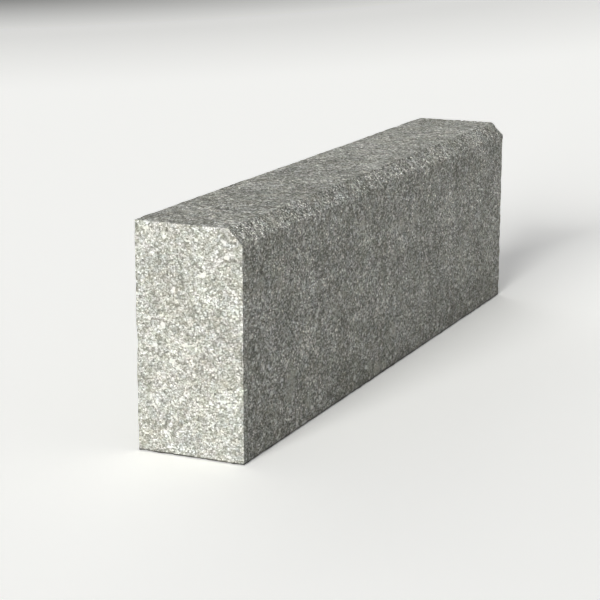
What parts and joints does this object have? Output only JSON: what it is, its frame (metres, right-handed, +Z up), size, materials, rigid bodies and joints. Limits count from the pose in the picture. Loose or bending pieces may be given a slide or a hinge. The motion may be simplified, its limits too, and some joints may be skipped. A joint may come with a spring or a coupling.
{
  "type": "granite kerb",
  "caption": "Straight granite road kerb, a rectangular block of light grey stone with a chamfer along the top edge of its road face and a rough flamed finish.",
  "frame": {"origin": "middle of the bed, halfway along the kerb and halfway across its width", "axes": "+X along the kerb, -Y out of the road face that has the chamfer at its top, +Z up"},
  "size_m": [1, 0.15, 0.3],
  "materials": {
    "granite": "light grey granite, flamed: rough, matt and finely speckled"
  },
  "bodies": {
    "root": {"granite_kerb": "granite"}
  },
  "joints": []
}
